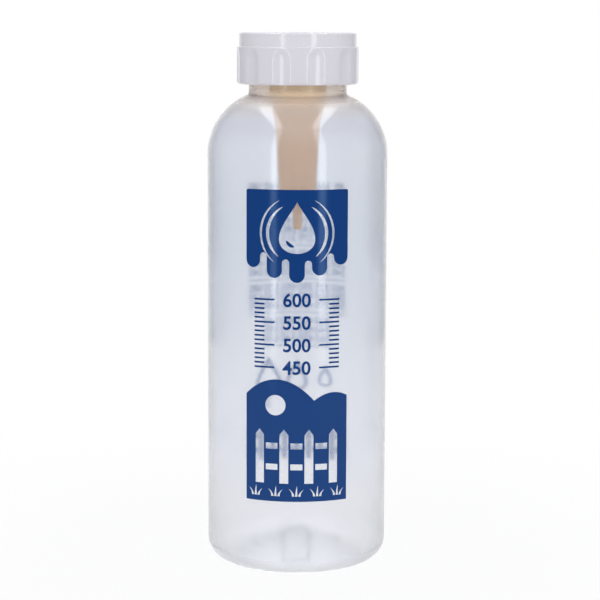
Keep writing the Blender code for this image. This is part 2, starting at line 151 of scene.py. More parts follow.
def turned(name, profile, sides, material, shape=None):
    """A closed turned piece. shape(radius, height, angle) gives back a point's own radius and height."""
    bm = bmesh.new()
    rings = []
    for radius, height in profile:
        if radius < ON_AXIS:
            rings.append([bm.verts.new((0.0, 0.0, shape(0.0, height, 0.0)[1] if shape else height))])
            continue
        ring = []
        for k in range(sides):
            angle = math.tau * k / sides
            r, z = shape(radius, height, angle) if shape else (radius, height)
            ring.append(bm.verts.new((r * math.sin(angle), -r * math.cos(angle), z)))
        rings.append(ring)
    for upper, lower in zip(rings, rings[1:] + rings[:1]):
        for k in range(sides):
            after = (k + 1) % sides
            corners = [upper[k % len(upper)], lower[k % len(lower)]]
            corners += [lower[after % len(lower)], upper[after % len(upper)]]
            corners = list(dict.fromkeys(corners))
            if len(corners) > 2:
                bm.faces.new(corners)
    mesh = mesh_from(name, bm)
    print(name, len(mesh.polygons), "faces")
    return add_piece(name, mesh, material)


# %% [markdown]
# ## Camera
#
# The outline in the photograph fixes the lens: an object 242 mm tall, seen from 921 mm away with a 121 mm lens on
# a 36 mm sensor, from a little above the cap and tilted down by almost 8 degrees.

# %% Place the camera
CAMERA_PLACE = (1.37 * MM, -921.0 * MM, 247.4 * MM)
CAMERA_TILT = 7.877
CAMERA_ROLL = 0.2
LENS = 121.3
SENSOR = 36.0

camera_data = bpy.data.cameras.new("camera")
camera_data.lens = LENS
camera_data.sensor_width = SENSOR
camera = link(bpy.data.objects.new("camera", camera_data))
camera.location = CAMERA_PLACE
tilt = Matrix.Rotation(math.radians(90 - CAMERA_TILT), 4, "X")
camera.rotation_euler = (tilt @ Matrix.Rotation(math.radians(CAMERA_ROLL), 4, "Z")).to_euler()
bpy.context.scene.camera = camera
bpy.context.scene.view_settings.view_transform = "Standard"

# %% [markdown]
# ## Light
#
# The highlights say how such a bottle is lit: two upright strips in front, about 30 degrees to each side, which draw
# the long streaks on the cap, the neck and the wall, and two brighter strips overhead that run from front to back
# and draw the patches on the shoulder. The rest is soft light from all round, dimmer on the camera's side, as in a
# studio where only the backdrop is lit. In mirror-like gloss that backdrop is narrow and the room beside it is dark
# up to the ceiling: that is what draws the bottle's blue-grey edges.


# %% Make the lamps
def strip_lamp(name, place, along, width, length, watts):
    """A long soft lamp that looks at the bottle's upper part, with its length along a direction."""
    data = bpy.data.lights.new(name, "AREA")
    data.shape = "RECTANGLE"
    data.size = width
    data.size_y = length
    data.energy = watts
    back = (Vector(place) - Vector(LAMP_AIM)).normalized()
    side = Vector(along).cross(back).normalized()
    turn = Matrix((side, back.cross(side), back)).transposed()
    link(bpy.data.objects.new(name, data)).matrix_world = Matrix.Translation(place) @ turn.to_4x4()


LAMP_AIM = (0.0, 0.0, 0.2)
UPRIGHT = (0.0, 0.0, 1.0)
FRONT_TO_BACK = (0.0, 1.0, 0.0)
strip_lamp("front_strip_left", (-0.49, -0.87, 0.50), UPRIGHT, width=0.14, length=1.2, watts=1.3)
strip_lamp("front_strip_right", (0.52, -0.85, 0.50), UPRIGHT, width=0.18, length=1.2, watts=1.6)
strip_lamp("top_strip_left", (-0.44, -0.12, 1.2), FRONT_TO_BACK, width=0.20, length=1.15, watts=2.8)
strip_lamp("top_strip_right", (0.44, -0.12, 1.2), FRONT_TO_BACK, width=0.20, length=1.15, watts=2.8)


# %% Helpers for shader nodes
def add_node(tree, kind, inputs=None, **settings):
    """A node with its settings, and its inputs set to values or linked to sockets."""
    node = tree.nodes.new(kind)
    for name, value in settings.items():
        setattr(node, name, value)
    for name, value in (inputs or {}).items():
        if isinstance(value, bpy.types.NodeSocket):
            tree.links.new(value, node.inputs[name])
        else:
            node.inputs[name].default_value = value
    return node


def maths(tree, operation, first, second=0.0):
    """A Math node's result."""
    return add_node(tree, "ShaderNodeMath", {0: first, 1: second}, operation=operation).outputs[0]


def smooth_range(tree, value, low, high, to_low=0.0, to_high=1.0):
    """A value that goes smoothly from one number to another as its input passes from low to high."""
    inputs = {"Value": value, "From Min": low, "From Max": high, "To Min": to_low, "To Max": to_high}
    return add_node(tree, "ShaderNodeMapRange", inputs, interpolation_type="SMOOTHSTEP").outputs["Result"]


# %% Make the world
FRONT_STRENGTH = 0.53
BACK_STRENGTH = 0.74
MIRRORED_STRENGTH = 0.14
ROOM_TINT = (0.95, 0.97, 1.0, 1.0)
MIRRORED_TINT = (0.78, 0.87, 1.0, 1.0)
# Each pair says where a change begins and ends, along one axis of the direction that a ray looks in.
BEFORE_TO_BEHIND = (-0.4, 0.4)
ROOM_TO_CEILING = (0.1, 0.8)
ROOM_TO_BACKDROP = (0.72, 0.97)
world = bpy.data.worlds.new("studio")
bpy.context.scene.world = world
world.use_nodes = True
tree = world.node_tree
direction = add_node(tree, "ShaderNodeTexCoord").outputs["Generated"]
split = add_node(tree, "ShaderNodeSeparateXYZ", {"Vector": direction}).outputs
backwards = split["Y"]
path = add_node(tree, "ShaderNodeLightPath").outputs
room = smooth_range(tree, split["Z"], *ROOM_TO_CEILING, BACK_STRENGTH - MIRRORED_STRENGTH, 0.0)
dimmed = maths(tree, "MULTIPLY", path["Is Glossy Ray"], room)
back = maths(tree, "SUBTRACT", BACK_STRENGTH, dimmed)
strength = smooth_range(tree, backwards, *BEFORE_TO_BEHIND, FRONT_STRENGTH, back)
inputs = {"Factor": path["Is Glossy Ray"], 6: ROOM_TINT, 7: MIRRORED_TINT}
tint = add_node(tree, "ShaderNodeMix", inputs, data_type="RGBA").outputs[2]
studio = tree.nodes["Background"]
tree.links.new(tint, studio.inputs["Color"])
tree.links.new(strength, studio.inputs["Strength"])
backdrop = add_node(tree, "ShaderNodeBackground", {"Color": (1.0, 1.0, 1.0, 1.0), "Strength": 1.0})
mirrored = maths(tree, "MULTIPLY", path["Is Glossy Ray"], smooth_range(tree, backwards, *ROOM_TO_BACKDROP))
seen = maths(tree, "MAXIMUM", path["Is Camera Ray"], path["Is Transmission Ray"])
seen = maths(tree, "MAXIMUM", seen, mirrored)
mix = add_node(tree, "ShaderNodeMixShader", {"Fac": seen, 1: studio.outputs[0], 2: backdrop.outputs[0]})
tree.links.new(mix.outputs["Shader"], tree.nodes["World Output"].inputs["Surface"])


# %% Helpers for materials
def new_material(name, colour=None, **values):
    """A material's node tree and Principled shader, with plain values set on the shader's own sockets."""
    material = bpy.data.materials.new(name)
    material.use_nodes = True
    shader = material.node_tree.nodes["Principled BSDF"]
    if colour:
        shader.inputs["Base Color"].default_value = (*colour, 1.0)
    for key, value in values.items():
        shader.inputs[key.replace("_", " ")].default_value = value
    return material, material.node_tree, shader


def set_surface(tree, shader_socket):
    """Sends a shader to the material's surface."""
    tree.links.new(shader_socket, tree.nodes["Material Output"].inputs["Surface"])


def object_axis(tree, axis):
    """One of the piece's own coordinates."""
    place = add_node(tree, "ShaderNodeTexCoord").outputs["Object"]
    return add_node(tree, "ShaderNodeSeparateXYZ", {"Vector": place}).outputs[axis]


def ramp_by_height(tree, stops):
    """A colour that changes up the piece: stops are (height in millimetres, colour)."""
    share = maths(tree, "DIVIDE", object_axis(tree, "Z"), CAP_TOP_Z)
    ramp = add_node(tree, "ShaderNodeValToRGB", {"Fac": share})
    ramp.color_ramp.interpolation = "EASE"
    elements = ramp.color_ramp.elements
    while len(elements) < len(stops):
        elements.new(1.0)
    for element, (place, colour) in zip(elements, stops):
        element.position = place * MM / CAP_TOP_Z
        element.color = (*colour, 1.0)
    return ramp.outputs["Color"]


def let_light_through(tree, shader, colour, amount):
    """Lets a share of the lamps' light pass: only shadow rays see the Transparent shader."""
    share = maths(tree, "MULTIPLY", add_node(tree, "ShaderNodeLightPath").outputs["Is Shadow Ray"], amount)
    clear = add_node(tree, "ShaderNodeBsdfTransparent", {"Color": (*colour, 1.0)})
    mix = add_node(tree, "ShaderNodeMixShader", {"Fac": share, 1: shader.outputs[0], 2: clear.outputs[0]})
    set_surface(tree, mix.outputs["Shader"])


# %% [markdown]
# ## One grain for every moulded piece
#
# No moulded surface is perfectly even. Plastic and rubber both have faint clouds in their colour and a fine grain in
# their gloss, only in different strengths. That is one effect, so it is one node group, and each material sets its
# own values.


# %% Make the grain group
def grain_group():
    """A node group: a colour with faint clouds in it, a roughness with grain, and a bump height."""
    group = bpy.data.node_groups.new("moulded_grain", "ShaderNodeTree")
    socket = group.interface.new_socket
    socket("Color", in_out="INPUT", socket_type="NodeSocketColor")
    for name in ("Clouds", "Roughness", "Grain", "Fineness"):
        socket(name, in_out="INPUT", socket_type="NodeSocketFloat")
    socket("Color", in_out="OUTPUT", socket_type="NodeSocketColor")
    socket("Roughness", in_out="OUTPUT", socket_type="NodeSocketFloat")
    socket("Height", in_out="OUTPUT", socket_type="NodeSocketFloat")
    given = add_node(group, "NodeGroupInput").outputs
    place = add_node(group, "ShaderNodeTexCoord").outputs["Object"]
    clouds = add_node(group, "ShaderNodeTexNoise", {"Vector": place, "Scale": 55.0, "Detail": 3.0}).outputs["Fac"]
    fine = add_node(group, "ShaderNodeTexNoise", {"Vector": place, "Scale": given["Fineness"], "Detail": 2.0})
    shade = maths(group, "MULTIPLY", maths(group, "SUBTRACT", clouds, 0.5), given["Clouds"])
    value = maths(group, "ADD", shade, 1.0)
    bright = add_node(group, "ShaderNodeHueSaturation", {"Color": given["Color"], "Value": value})
    spread = maths(group, "MULTIPLY", maths(group, "SUBTRACT", fine.outputs["Fac"], 0.5), given["Grain"])
    result = add_node(group, "NodeGroupOutput")
    group.links.new(bright.outputs["Color"], result.inputs["Color"])
    group.links.new(maths(group, "ADD", given["Roughness"], spread), result.inputs["Roughness"])
    group.links.new(fine.outputs["Fac"], result.inputs["Height"])
    return group


moulded_grain = grain_group()


def add_grain(tree, shader, colour, clouds, roughness, grain, fineness, bump=0.0):
    """Puts the grain group between a material's colour and its shader. bump is the grain's height in metres."""
    colour = colour if isinstance(colour, bpy.types.NodeSocket) else (*colour, 1.0)
    inputs = {"Color": colour, "Clouds": clouds, "Roughness": roughness, "Grain": grain, "Fineness": fineness}
    node = tree.nodes.new("ShaderNodeGroup")
    node.node_tree = moulded_grain
    for name, value in inputs.items():
        if isinstance(value, bpy.types.NodeSocket):
            tree.links.new(value, node.inputs[name])
        else:
            node.inputs[name].default_value = value
    tree.links.new(node.outputs["Color"], shader.inputs["Base Color"])
    tree.links.new(node.outputs["Roughness"], shader.inputs["Roughness"])
    if bump:
        lifted = add_node(tree, "ShaderNodeBump", {"Height": node.outputs["Height"], "Distance": bump})
        tree.links.new(lifted.outputs["Normal"], shader.inputs["Normal"])


# %% [markdown]
# ## Floor
#
# The bottle stands on white paper that burns out to plain white within a third of a metre. The paper's own colour
# still takes the bottle's shadow. Only where the camera, glass or gloss look at it does a share of plain white
# come in.

# %% Make the floor
FLOOR_RADIUS = 0.65
# The plain white's share grows with the distance from the bottle's middle, in metres.
BURN_OUT = (0.05, 0.32)
WHITE_SHARE = (0.85, 1.0)
floor_material, tree, shader = new_material("white_paper", (0.9, 0.9, 0.91), Roughness=0.6)
path = add_node(tree, "ShaderNodeLightPath").outputs
seen = maths(tree, "MAXIMUM", path["Is Camera Ray"], path["Is Glossy Ray"])
seen = maths(tree, "MAXIMUM", seen, path["Is Transmission Ray"])
place = add_node(tree, "ShaderNodeTexCoord").outputs["Object"]
away = add_node(tree, "ShaderNodeVectorMath", {0: place}, operation="LENGTH").outputs["Value"]
share = maths(tree, "MULTIPLY", seen, smooth_range(tree, away, *BURN_OUT, *WHITE_SHARE))
glow = add_node(tree, "ShaderNodeEmission", {"Strength": 1.0})
mix = add_node(tree, "ShaderNodeMixShader", {"Fac": share, 1: shader.outputs[0], 2: glow.outputs[0]})
set_surface(tree, mix.outputs["Shader"])

bm = bmesh.new()
bmesh.ops.create_circle(bm, cap_ends=True, segments=96, radius=FLOOR_RADIUS)
floor = add_piece("floor", mesh_from("floor", bm), floor_material)

# %% [markdown]
# ## The bottle's plastic
#
# The wall is soft plastic about a millimetre thick: clear enough to show the teat and the print behind it, and milky
# enough to look pale blue-grey against white. So the shader is mostly glass, with a little roughness that blurs what
# is far behind it, and a small share of plain milky colour. The wall is thickest at the neck's root and in the base,
# where it is hazier, so the haze changes with height. The colour changes with height too, and those changes are
# painted light: the wall is lighter low down, where the floor's light falls, and a bright warm band at the neck's
# root is a painted glow of the rubber behind it. The mould's halves leave a fine raised line down each side, which is
# a bump. Towards its left and right outlines the wall is painted darker, most of all in its upper part and on the
# right: that is painted shade. Lamps have to reach the inside too, or the teat would hang in the dark: for shadow rays
# alone the wall is nearly clear.

# %% Make the bottle's plastic
PARTING_HALF = 0.3 * MM
PARTING_LIFT = 0.06 * MM
# Where each side's painted shade begins and ends, as shares of the radius, and how much darker it paints the wall.
RIGHT_SIDE, RIGHT_EDGE_SHADE = (0.74, 0.86), 0.07
LEFT_SIDE, LEFT_EDGE_SHADE = (-0.92, -0.84), 0.05
# The wall's roughness, and how much of the painted edge shade shows, by height in millimetres.
WALL_HAZE = {0.0: 0.28, 60.0: 0.12, 206.0: 0.11, 213.0: 0.32, 215.5: 0.32, 217.0: 0.15}
EDGE_SHADE_BY_HEIGHT = {48.0: 0.0, 70.0: 0.6, 102.0: 0.6, 118.0: 0.0, 128.0: 0.0, 147.0: 1.0}
bottle_plastic, tree, shader = new_material("milky_bottle_plastic", IOR=1.45, Transmission_Weight=0.92)
# Painted light in the wall's colour: lighter low down, where the floor's light falls, and a bright warm glow at the
# neck's root.
wall_colour_and_painted_light = ramp_by_height(tree, [
    (0.0, (0.955, 0.960, 0.973)),
    (5.0, (0.888, 0.898, 0.924)),
    (16.0, (0.908, 0.914, 0.935)),
    (60.0, (0.865, 0.878, 0.914)),
    (150.0, (0.818, 0.840, 0.886)),
    (190.0, (0.830, 0.850, 0.894)),
    (203.0, (0.794, 0.801, 0.848)),
    (208.0, (0.790, 0.775, 0.782)),
    (212.5, (0.975, 0.905, 0.862)),
    (214.8, (0.990, 0.920, 0.870)),
    (217.0, (0.785, 0.725, 0.683)),
])
wall_haze = ramp_by_height(tree, [(height, (value,) * 3) for height, value in WALL_HAZE.items()])
# Painted shade: the wall darkens towards its left and right outlines, most of all in the upper part and on the right.
across = maths(tree, "DIVIDE", object_axis(tree, "X"), BODY_RADIUS)
right = smooth_range(tree, across, *RIGHT_SIDE, 0.0, RIGHT_EDGE_SHADE)
left = smooth_range(tree, across, *LEFT_SIDE, LEFT_EDGE_SHADE, 0.0)
edge_shade_by_height = ramp_by_height(tree, [(height, (value,) * 3) for height, value in EDGE_SHADE_BY_HEIGHT.items()])
painted_edge_shade = maths(tree, "MULTIPLY", maths(tree, "ADD", right, left), edge_shade_by_height)
inputs = {0: wall_colour_and_painted_light, "Scale": maths(tree, "SUBTRACT", 1.0, painted_edge_shade)}
wall_colour_and_painted_light = add_node(tree, "ShaderNodeVectorMath", inputs, operation="SCALE").outputs["Vector"]
tree.links.new(wall_colour_and_painted_light, shader.inputs["Base Color"])
tree.links.new(wall_haze, shader.inputs["Roughness"])
beside = maths(tree, "ABSOLUTE", object_axis(tree, "Y"))
seam = smooth_range(tree, beside, 0.0, PARTING_HALF, 1.0, 0.0)
lifted = add_node(tree, "ShaderNodeBump", {"Height": seam, "Distance": PARTING_LIFT})
tree.links.new(lifted.outputs["Normal"], shader.inputs["Normal"])
let_light_through(tree, shader, (0.96, 0.97, 0.98), 1.0)


# %% [markdown]
# ## The bottle
#
# One closed skin makes the whole bottle: down the outside from the rim, over the foot, up into the pushed-in base,
# and back along the inside. Both sides are rounded where the neck meets the shoulder, because a sharp corner in
# glass-like plastic turns into a dark ring. The screw ridge stands out of the neck by the shape function, and the
# short channel in the base, which tells the printing machine where the front is, sinks in by it.


# %% Shape the thread and the base
def thread_lift(height, angle, start_z, half_foot, half_crest, rise):
    """How far a right-hand screw ridge stands out at a height and an angle. It starts at the back."""
    around = (angle - math.pi) % math.tau
    best = 0.0
    for lap in range(math.ceil(THREAD_TURNS)):
        turn = around + lap * math.tau
        if turn > THREAD_TURNS * math.tau:
            continue
        off = abs(height - start_z - THREAD_PITCH * turn / math.tau)
        slope = min(1.0, max(0.0, (half_foot - off) / (half_foot - half_crest)))
        fade = min(1.0, turn / THREAD_FADE, (THREAD_TURNS * math.tau - turn) / THREAD_FADE)
        best = max(best, rise * slope * max(0.0, fade) ** 0.7)
    return best


NECK_RIDGE = {"start_z": THREAD_START_Z, "half_foot": 1.25 * MM, "half_crest": 0.7 * MM, "rise": 2.1 * MM}
NECK_RIDGE_LOW_Z = RIM_Z - 15 * MM
CHANNEL_HALF = 5.5 * MM
CHANNEL_DEPTH = 2.2 * MM
CHANNEL_REACH = FOOT_INNER - 1.8 * MM
SOFT_EDGE = 0.7 * MM
WALL_WAVE = 0.05 * MM


def wall_wave(height, angle):
    """How much the blown wall's thickness wanders from place to place."""
    slow = math.sin(3 * angle + 1.3) * math.sin(height / (21 * MM) + 0.6)
    quick = math.sin(5 * angle - height / (13 * MM))
    return WALL_WAVE * (slow + 0.5 * quick)


def bottle_shape(radius, height, angle):
    """Adds the screw ridge, the channel in the base and the uneven inner wall."""
    if height > NECK_RIDGE_LOW_Z and radius > (NECK_RADIUS + NECK_BORE) / 2:
        return radius + thread_lift(height, angle, **NECK_RIDGE), height
    if height < PUNT_HEIGHT + 2 * BOTTLE_WALL and radius < FOOT_INNER:
        across = abs(radius * math.sin(angle))
        depth = CHANNEL_DEPTH * step_up(CHANNEL_HALF - across, 0.0, SOFT_EDGE)
        depth *= step_up(radius * math.cos(angle), 0.0, SOFT_EDGE) * step_up(CHANNEL_REACH - radius, 0.0, SOFT_EDGE)
        return radius, height + depth
    if 2 * HEEL_RADIUS < height < BODY_TOP_Z and radius < BODY_RADIUS - BOTTLE_WALL / 2:
        ends = step_up(height, 3 * HEEL_RADIUS, HEEL_RADIUS) * step_up(BODY_TOP_Z - height, HEEL_RADIUS, HEEL_RADIUS)
        return radius + ends * wall_wave(height, angle), height
    return radius, height


# %% Draw the half section and turn it
SHOULDER_CENTRE = BODY_RADIUS - SHOULDER_RADIUS
FOOT_OUTER = BODY_RADIUS - HEEL_RADIUS
PUNT_RADIUS = (FOOT_INNER**2 + PUNT_HEIGHT**2) / (2 * PUNT_HEIGHT)
PUNT_CENTRE_Z = PUNT_HEIGHT - PUNT_RADIUS
PRINT_ROOM = 0.05 * MM
RIM_ROUND = 0.5 * MM
ROOT_ROUND = 1.2 * MM


def bottle_side(offset, neck, root):
    """The half section moved inwards by an offset: neck root, shoulder, body, heel and punt."""
    shoulder_radius = SHOULDER_RADIUS - offset
    root_radius = neck + root
    root_z = BODY_TOP_Z + math.sqrt((shoulder_radius + root) ** 2 - (root_radius - SHOULDER_CENTRE) ** 2)
    meet = math.degrees(math.acos((root_radius - SHOULDER_CENTRE) / (shoulder_radius + root)))
    neck_root = arc((root_radius, root_z), root, 180, 180 + meet, 8)
    shoulder = arc((SHOULDER_CENTRE, BODY_TOP_Z), shoulder_radius, meet, 0, 30)
    body = run((BODY_RADIUS - offset, BODY_TOP_Z), (BODY_RADIUS - offset, HEEL_RADIUS), 40)
    heel = arc((FOOT_OUTER, HEEL_RADIUS), HEEL_RADIUS - offset, 0, -90, 12)
    radius = PUNT_RADIUS + offset
    lean = math.degrees(math.acos((offset - PUNT_CENTRE_Z) / radius))
    punt = arc((0.0, PUNT_CENTRE_Z), radius, 90 - lean, 90, 30)
    punt[-1] = (0.0, punt[-1][1])
    return [*neck_root, *shoulder[1:], *body, *heel, *punt]


outer = bottle_side(PRINT_ROOM, NECK_RADIUS, ROOT_ROUND)
inner = bottle_side(BOTTLE_WALL, NECK_BORE, ROOT_ROUND + BOTTLE_WALL)
rim = arc((NECK_BORE + RIM_ROUND, RIM_Z - RIM_ROUND), RIM_ROUND, 180, 90, 4)
rim += arc((NECK_RADIUS - RIM_ROUND, RIM_Z - RIM_ROUND), RIM_ROUND, 90, 0, 4)
neck = run((NECK_RADIUS, RIM_Z - RIM_ROUND), outer[0], 80)
bottle = turned("bottle_shell", [*rim, *neck, *outer, *reversed(inner)], 160, bottle_plastic, bottle_shape)
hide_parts("bottle")
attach(bottle, "bottle")

# %% [markdown]
# ## The print
#
# The real bottle is printed in one navy ink, on the front and on the back. The ink is a skin a few hundredths of a
# millimetre thick that follows the round wall. Drawing it flat is easy and drawing it round is not, so each part of
# the print is drawn flat, in millimetres along the wall and up it, then cut into narrow upright strips and bent.
# Its two sides differ: from outside the ink is navy, and its underside, which wets the plastic and has the light
# behind it, is a lighter blue. That is what the back's print looks like through the bottle. The design is a plain
# one: a drop of milk with ripples round it, a measuring scale, and a fence on a hill.

# %% Mix the ink
INK_THICKNESS = 0.04 * MM
STRIP_WIDTH = 1.2 * MM
SAME_POINT = 0.0005 * MM
ON_THE_CUT = 1e-7
FACING_IN = -0.5
FONT_CAPITAL = 0.72
FONT_WEIGHT = 0.03
navy_ink, tree, shader = new_material("navy_ink", Specular_IOR_Level=0.5, Specular_Tint=(0.45, 0.7, 1.0, 1.0))
add_grain(tree, shader, (0.0008, 0.038, 0.191), clouds=0.10, roughness=0.14, grain=0.03, fineness=900.0)
ink_underside, tree, shader = new_material("ink_underside", Specular_IOR_Level=0.2)
add_grain(tree, shader, (0.10, 0.24, 0.52), clouds=0.10, roughness=0.5, grain=0.03, fineness=900.0)


# %% Helpers for flat shapes
def evaluated_mesh(obj):
    """What an object's curve or modifiers make, as a plain mesh."""
    return bpy.data.meshes.new_from_object(obj.evaluated_get(bpy.context.evaluated_depsgraph_get()))


def flat_mesh(curve):
    """A curve's or a text's filled shape as a mesh, with the object thrown away."""
    obj = link(bpy.data.objects.new("flat", curve))
    mesh = evaluated_mesh(obj)
    bpy.data.objects.remove(obj)
    return mesh


def flat_shape(*outlines):
    """A filled flat shape from closed outlines in millimetres; an outline inside another is a hole."""
    curve = bpy.data.curves.new("outline", "CURVE")
    curve.dimensions = "2D"
    curve.fill_mode = "BOTH"
    curve.extrude = INK_THICKNESS / 2
    for outline in outlines:
        spline = curve.splines.new("POLY")
        spline.points.add(len(outline) - 1)
        for point, (u, v) in zip(spline.points, outline):
            point.co = (u * MM, v * MM, 0.0, 1.0)
        spline.use_cyclic_u = True
    return flat_mesh(curve)


def flat_number(number, size, u, v):
    """A number, centred on a place on the wall. size is the height of its figures in millimetres."""
    curve = bpy.data.curves.new("number", "FONT")
    curve.body = str(number)
    curve.size = size / FONT_CAPITAL * MM
    curve.align_x = "CENTER"
    curve.offset = FONT_WEIGHT * size * MM
    curve.extrude = INK_THICKNESS / 2
    curve.resolution_u = 4
    mesh = flat_mesh(curve)
    mesh.transform(Matrix.Translation((u * MM, (v - size / 2) * MM, 0.0)))
    return mesh


def bend_print(name, flats, facing):
    """Joins flat pieces, cuts them into strips and bends them round the body, centred on the facing angle."""
    bm = bmesh.new()
    for flat in flats:
        bm.from_mesh(flat)
    bmesh.ops.remove_doubles(bm, verts=bm.verts, dist=SAME_POINT)
    reach = max(abs(v.co.x) for v in bm.verts)
    strips = math.ceil(reach / STRIP_WIDTH)
    for k in range(-strips, strips + 1):
        everything = [*bm.verts, *bm.edges, *bm.faces]
        place = (k * STRIP_WIDTH, 0.0, 0.0)
        bmesh.ops.bisect_plane(bm, geom=everything, dist=ON_THE_CUT, plane_co=place, plane_no=(1.0, 0.0, 0.0))
    for vert in bm.verts:
        angle = facing + vert.co.x / BODY_RADIUS
        radius = BODY_RADIUS - INK_THICKNESS / 2 + vert.co.z
        vert.co = (radius * math.sin(angle), -radius * math.cos(angle), vert.co.y)
    mesh = mesh_from(name, bm)
    obj = add_piece(name, mesh, navy_ink)
    mesh.materials.append(ink_underside)
    for face in mesh.polygons:
        outwards = face.normal.x * face.center.x + face.normal.y * face.center.y
        face.material_index = 1 if outwards < FACING_IN * BODY_RADIUS else 0
    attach(obj, "bottle")
    print(name, len(mesh.polygons), "faces")


# %% Outlines that the print uses more than once
def rectangle(left, right, low, high):
    """A rectangle's corners."""
    return [(left, low), (right, low), (right, high), (left, high)]


def circle(u, v, radius, steps=40):
    """A circle's points."""
    angles = [math.tau * i / steps for i in range(steps)]
    return [(u + radius * math.cos(a), v + radius * math.sin(a)) for a in angles]


def drop(u, v, size, steps=48):
    """A hanging drop, three sizes high, whose tip points up."""
    angles = [math.tau * i / steps for i in range(steps)]
    reach = 1.5 * size
    return [(u + reach * math.sin(a) * abs(math.sin(a / 2)) ** 1.5, v + reach * math.cos(a)) for a in angles]


def curved_stroke(u, v, radius, width, start, end, steps=24):
    """Part of a ring that thins to a point at both ends, with its angles in degrees."""
    outside, inside = [], []
    for i in range(steps + 1):
        angle = math.radians(start + (end - start) * i / steps)
        half = width / 2 * math.sin(math.pi * i / steps) ** 0.6
        outside.append((u + (radius + half) * math.cos(angle), v + (radius + half) * math.sin(angle)))
        inside.append((u + (radius - half) * math.cos(angle), v + (radius - half) * math.sin(angle)))
    return outside + inside[-2:0:-1]


# %% The upper panel: a drop of milk
PANEL_HALF = 23.6
PANEL_TOP = 174.1
PANEL_CORNER = 0.8
DRIP_RADIUS = 3.44
DRIP_GAP = 1.6
DRIP_ENDS = [139.6, 135.2, 133.2, 136.4, 140.8]
GAP_TOPS = [146.4, 143.6, 143.0, 146.0]


def drip_panel():
    """The panel's outline: a straight top, and milk running down from the lower edge."""
    corner = PANEL_HALF - PANEL_CORNER
    points = arc((-corner, PANEL_TOP - PANEL_CORNER), PANEL_CORNER, 180, 90, 6)
    points += arc((corner, PANEL_TOP - PANEL_CORNER), PANEL_CORNER, 90, 0, 6)
    u = PANEL_HALF
    for k in reversed(range(len(DRIP_ENDS))):
        u -= DRIP_RADIUS
        points += arc((u, DRIP_ENDS[k] + DRIP_RADIUS), DRIP_RADIUS, 0, -180, 14)
        u -= DRIP_RADIUS
        if k:
            u -= DRIP_GAP
            points += arc((u, GAP_TOPS[k - 1] - DRIP_GAP), DRIP_GAP, 0, 180, 8)
            u -= DRIP_GAP
    return points


milk_drop = drop(0.0, 157.4, 7.6)
shine = curved_stroke(-0.6, 153.4, 4.4, 1.5, 200, 262)
ripples = [
    curved_stroke(0.0, 155.0, radius, width, start, end)
    for radius, width in ((13.2, 1.5), (16.4, 1.0))
    for start, end in ((118, 232), (-52, 62))
]
bend_print("print_upper", [flat_shape(drip_panel(), milk_drop, shine, *ripples)], 0.0)

# %% [markdown]
# ## The measuring scale
#
# A mark on a bottle is only right if the milk would really stand there. So the volume of the hollow is added up, in
# thin slices from the base, and the height of every mark is read from that sum. The short marks repeat, so Geometry
# Nodes lay them out: one small bar on every point of a line, and each fifth bar longer.

# %% Find where the milk stands
FILL_SLICE = 0.1 * MM


def fill_height(millilitres):
    """The height in millimetres at which the milk stands, from the hollow's own half section."""
    volume, height = 0.0, 0.0
    heel = HEEL_RADIUS - BOTTLE_WALL
    while volume < millilitres * 1e-6:
        height += FILL_SLICE
        below = min(heel, max(0.0, HEEL_RADIUS - height))
        outside = FOOT_OUTER + math.sqrt(heel**2 - below**2)
        dome = (PUNT_RADIUS + BOTTLE_WALL) ** 2 - (height - PUNT_CENTRE_Z) ** 2
        volume += math.pi * (outside**2 - max(0.0, dome)) * FILL_SLICE
    return height / MM


SCALE = range(450, 601, 50)
MARK_STEP = 10
FIGURE_HEIGHT = 6.0
heights = {amount: fill_height(amount) for amount in SCALE}
mark_pitch = (heights[SCALE[-1]] - heights[SCALE[0]]) / (SCALE[-1] - SCALE[0]) * MARK_STEP
print("marks:", {amount: round(height, 1) for amount, height in heights.items()})


